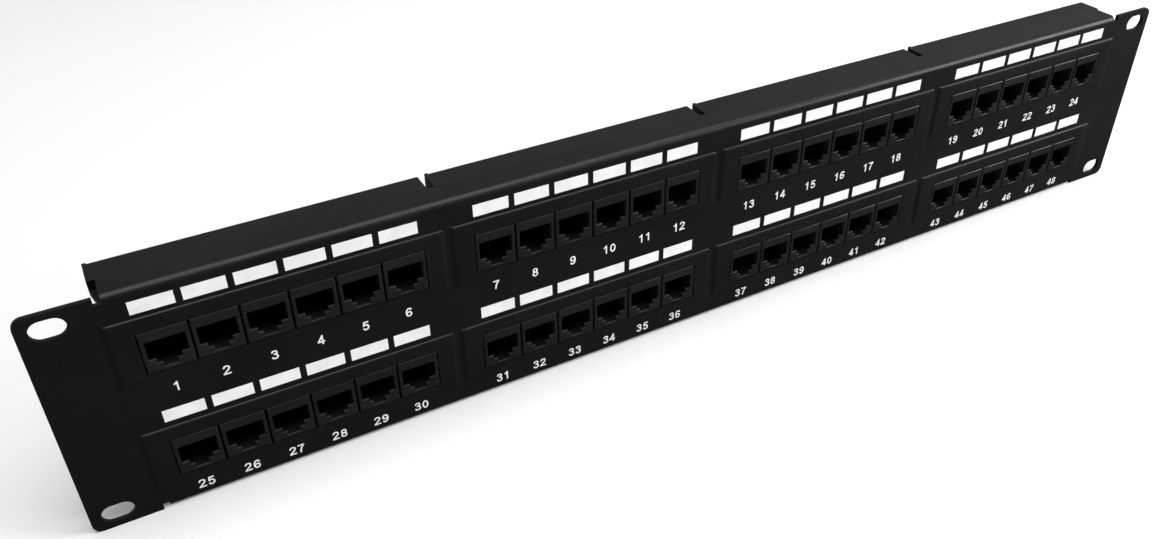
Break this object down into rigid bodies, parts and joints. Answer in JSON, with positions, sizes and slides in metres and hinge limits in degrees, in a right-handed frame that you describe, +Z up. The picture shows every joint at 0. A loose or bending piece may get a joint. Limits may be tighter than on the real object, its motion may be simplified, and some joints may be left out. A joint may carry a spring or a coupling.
{
  "type": "patch panel",
  "caption": "Black steel rack patch panel with grouped network sockets in two rows, white port labels and punch-down blocks behind.",
  "frame": {"origin": "middle of the rectangle of the four rack slots, on the rear face of the ears, which seats on the rack's rails", "axes": "+X across the panel to the right as its front is faced, +Y back into the rack along the slots' axis, +Z up"},
  "size_m": [0.4826, 0.0321, 0.0882],
  "materials": {
    "panel_paint": "satin black powder coat with a fine grain",
    "carrier_plastic": "matte black moulded plastic",
    "jack_plastic": "satin black moulded plastic",
    "contact_gold": "bright gold plating",
    "board_laminate": "glossy green solder mask",
    "block_plastic": "satin off-white moulded plastic",
    "clip_tin": "tin plated bronze",
    "zinc_steel": "bright zinc plated steel",
    "label_white": "flat white print and label stock"
  },
  "bodies": {
    "root": {"front_panel": "panel_paint", "module_carrier_1": "carrier_plastic", "module_carrier_2": "carrier_plastic", "module_carrier_3": "carrier_plastic", "module_carrier_4": "carrier_plastic", "jack_housings_01_06": "jack_plastic", "jack_contacts_01_06": "contact_gold", "circuit_board_01_06": "board_laminate", "punch_block_upper_01_06": "block_plastic", "punch_block_lower_01_06": "block_plastic", "wire_clips_01_06": "clip_tin", "jack_housings_07_12": "jack_plastic", "jack_contacts_07_12": "contact_gold", "circuit_board_07_12": "board_laminate", "punch_block_upper_07_12": "block_plastic", "punch_block_lower_07_12": "block_plastic", "wire_clips_07_12": "clip_tin", "jack_housings_13_18": "jack_plastic", "jack_contacts_13_18": "contact_gold", "circuit_board_13_18": "board_laminate", "punch_block_upper_13_18": "block_plastic", "punch_block_lower_13_18": "block_plastic", "wire_clips_13_18": "clip_tin", "jack_housings_19_24": "jack_plastic", "jack_contacts_19_24": "contact_gold", "circuit_board_19_24": "board_laminate", "punch_block_upper_19_24": "block_plastic", "punch_block_lower_19_24": "block_plastic", "wire_clips_19_24": "clip_tin", "jack_housings_25_30": "jack_plastic", "jack_contacts_25_30": "contact_gold", "circuit_board_25_30": "board_laminate", "punch_block_upper_25_30": "block_plastic", "punch_block_lower_25_30": "block_plastic", "wire_clips_25_30": "clip_tin", "jack_housings_31_36": "jack_plastic", "jack_contacts_31_36": "contact_gold", "circuit_board_31_36": "board_laminate", "punch_block_upper_31_36": "block_plastic", "punch_block_lower_31_36": "block_plastic", "wire_clips_31_36": "clip_tin", "jack_housings_37_42": "jack_plastic", "jack_contacts_37_42": "contact_gold", "circuit_board_37_42": "board_laminate", "punch_block_upper_37_42": "block_plastic", "punch_block_lower_37_42": "block_plastic", "wire_clips_37_42": "clip_tin", "jack_housings_43_48": "jack_plastic", "jack_contacts_43_48": "contact_gold", "circuit_board_43_48": "board_laminate", "punch_block_upper_43_48": "block_plastic", "punch_block_lower_43_48": "block_plastic", "wire_clips_43_48": "clip_tin", "board_screws": "zinc_steel", "wiring_labels": "label_white", "panel_studs": "zinc_steel", "stud_nuts": "zinc_steel"}
  },
  "joints": []
}
